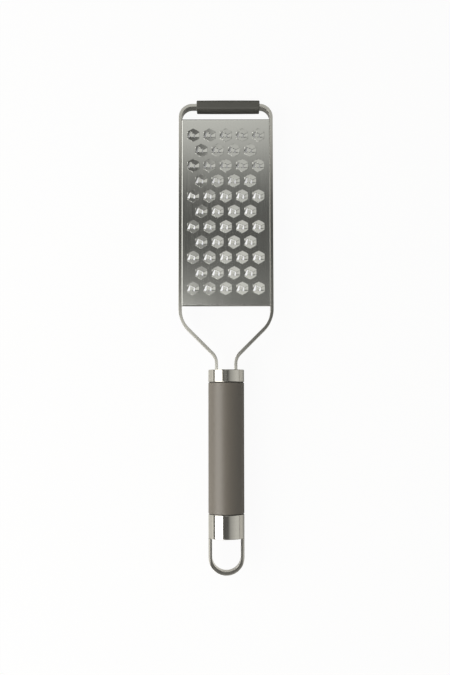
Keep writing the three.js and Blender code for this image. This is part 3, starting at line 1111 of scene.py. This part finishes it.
def make_world():
    """A dim studio with a pale wall on the right, cards past both ends, and a glow and lamps over the neck.
    To the camera it is plain white."""
    world = bpy.data.worlds.new("Studio")
    world.use_nodes = True
    tree = world.node_tree
    tree.nodes.clear()
    way = add_node(tree, "ShaderNodeTexCoord")
    axes = add_node(tree, "ShaderNodeSeparateXYZ", {0: way.outputs["Generated"]})

    def toned(axis, tones):
        share = add_node(
            tree, "ShaderNodeMapRange", {"Value": axes.outputs[axis], "From Min": -1.0, "From Max": 1.0}
        )
        ramp = add_node(tree, "ShaderNodeValToRGB", {"Fac": share.outputs["Result"]})
        set_ramp(ramp, [((1 + math.sin(math.radians(angle))) / 2, tone) for angle, tone in tones])
        return ramp.outputs["Color"]

    def card(along, across):
        sides = {0: toned("Y", along), 1: toned("X", across)}
        return add_node(tree, "ShaderNodeMath", sides, operation="MULTIPLY").outputs["Value"]

    studio = CEILING
    for along, across in (WALL, TOP_CARD, END_CARDS, CORNER_CARD, NECK_GLOW, LEG_LAMP, TAIL_LAMP):
        lit = add_node(tree, "ShaderNodeMath", {0: studio, 1: card(along, across)}, operation="MAXIMUM")
        studio = lit.outputs["Value"]
    rays = add_node(tree, "ShaderNodeLightPath")
    light = add_node(
        tree, "ShaderNodeBackground", {"Color": (*linear("FFFEF8"), 1), "Strength": studio}
    )
    white = add_node(tree, "ShaderNodeBackground", {"Color": (1, 1, 1, 1), "Strength": 1.0})
    mixed = add_node(
        tree,
        "ShaderNodeMixShader",
        {0: rays.outputs["Is Camera Ray"], 1: light.outputs["Background"], 2: white.outputs["Background"]},
    )
    add_node(tree, "ShaderNodeOutputWorld", {"Surface": mixed.outputs["Shader"]})
    bpy.context.scene.world = world


def make_softbox(stage):
    """A long softbox on the left, with the dark rim of its case along its lower side."""
    reach = 0.75
    upper, lower = math.radians(20.5), math.radians(76)
    aim = (upper + lower) / 2
    breadth = 2 * reach * math.tan((lower - upper) / 2)
    span = 1.9
    shift = -0.5
    turned = math.radians(12)
    place = Vector((-reach * math.sin(aim), shift, AXIS_Z + reach * math.cos(aim)))
    lamp = bpy.data.lights.new("softbox", "AREA")
    lamp.shape = "RECTANGLE"
    lamp.size = breadth
    lamp.size_y = span
    lamp.energy = stage.softbox * math.pi * breadth * span
    lamp.color = linear("FFFDF8")
    box = bpy.data.objects.new("softbox", lamp)
    back = (place - Vector((0, shift, AXIS_Z))).normalized()
    along = Vector((0, 1, 0))
    along.rotate(Quaternion(back, turned))
    turn = Matrix((along.cross(back), along, back)).transposed()
    box.matrix_world = Matrix.Translation(place) @ turn.to_4x4()
    box.visible_camera = False
    bpy.context.scene.collection.objects.link(box)

    material = bpy.data.materials.new("Black cloth, matt")
    material.use_nodes = True
    tree = material.node_tree
    tree.nodes.clear()
    cloth = add_node(tree, "ShaderNodeBsdfDiffuse", {"Color": (*linear("1C1C1B"), 1)})
    add_node(tree, "ShaderNodeOutputMaterial", {"Surface": cloth.outputs["BSDF"]})
    rim_gap = 0.05
    rim_foot = 0.02
    x = -reach * math.sin(lower) - rim_gap
    rim_top = AXIS_Z + reach * math.cos(lower)
    near, far = shift - span / 2, shift + span / 2
    corners = [(x, near, rim_foot), (x, far, rim_foot), (x, far, rim_top), (x, near, rim_top)]
    case = stage_mesh("softbox_rim", corners, material)
    case.visible_camera = False
    case.visible_shadow = False


def make_camera():
    """The photograph's view: from above, a little to the handle's side, with its lens set for a picture 675
    pixels high.
    """
    picture_height = 675
    focal_pixels = 1102
    sensor = 36
    lens = bpy.data.cameras.new("camera")
    lens.sensor_fit = "VERTICAL"
    lens.sensor_height = sensor
    lens.lens = focal_pixels * sensor / picture_height
    lens.clip_start = 0.01
    camera = bpy.data.objects.new("camera", lens)
    tilt = math.radians(3.35)
    roll = math.radians(0.1)
    back = Vector((0, -math.sin(tilt), math.cos(tilt)))
    right0 = Vector((1, 0, 0))
    up0 = back.cross(right0)
    up = up0 * math.cos(roll) + right0 * math.sin(roll)
    right = right0 * math.cos(roll) - up0 * math.sin(roll)
    turn = Matrix((right, up, back)).transposed()
    place = Vector((-0.75, -45.29, 753.7)) * MM
    camera.matrix_world = Matrix.Translation(place) @ turn.to_4x4()
    bpy.context.scene.collection.objects.link(camera)
    bpy.context.scene.camera = camera


class GRATER_OT_stage(bpy.types.Operator):
    """Sets the floor, the studio light and the camera"""

    bl_idname = "grater.stage"
    bl_label = "Stage"

    def execute(self, context):
        stage = context.scene.grater_stage
        make_floor(stage)
        make_world()
        make_softbox(stage)
        make_camera()
        context.scene.view_settings.view_transform = "Standard"
        return {"FINISHED"}


SIZE_GROUPS = {
    "grater_bar": GraterBar,
    "grater_plate": GraterPlate,
    "grater_handle": GraterHandle,
    "grater_foot": GraterFoot,
    "grater_stage": GraterStage,
}
STEPS = (
    GRATER_OT_frame_strip,
    GRATER_OT_grating_plate,
    GRATER_OT_foot_sleeve,
    GRATER_OT_ferrules,
    GRATER_OT_hang_loop,
    GRATER_OT_grip_sleeve,
    GRATER_OT_seal_rings,
    GRATER_OT_inner_parts,
    GRATER_OT_stage,
)


class GRATER_PT_sidebar(bpy.types.Panel):
    """Sizes, colours and building steps of the grater"""

    bl_idname = "GRATER_PT_sidebar"
    bl_label = "Hand grater"
    bl_space_type = "VIEW_3D"
    bl_region_type = "UI"
    bl_category = "Grater"

    def draw(self, context):
        for step in STEPS:
            self.layout.operator(step.bl_idname)
        for name, group in SIZE_GROUPS.items():
            box = self.layout.box()
            for size in group.__annotations__:
                box.prop(getattr(context.scene, name), size)


def register():
    for cls in (*SIZE_GROUPS.values(), *STEPS, GRATER_PT_sidebar):
        bpy.utils.register_class(cls)
    for name, group in SIZE_GROUPS.items():
        setattr(bpy.types.Scene, name, bpy.props.PointerProperty(type=group))


def unregister():
    for name in SIZE_GROUPS:
        delattr(bpy.types.Scene, name)
    for cls in reversed((*SIZE_GROUPS.values(), *STEPS, GRATER_PT_sidebar)):
        bpy.utils.unregister_class(cls)


def main():
    register()
    bpy.ops.grater.frame_strip()
    bpy.ops.grater.grating_plate()
    bpy.ops.grater.foot_sleeve()
    bpy.ops.grater.ferrules()
    bpy.ops.grater.hang_loop()
    bpy.ops.grater.grip_sleeve()
    bpy.ops.grater.seal_rings()
    bpy.ops.grater.inner_parts()
    bpy.ops.grater.stage()


if __name__ == "__main__":
    main()
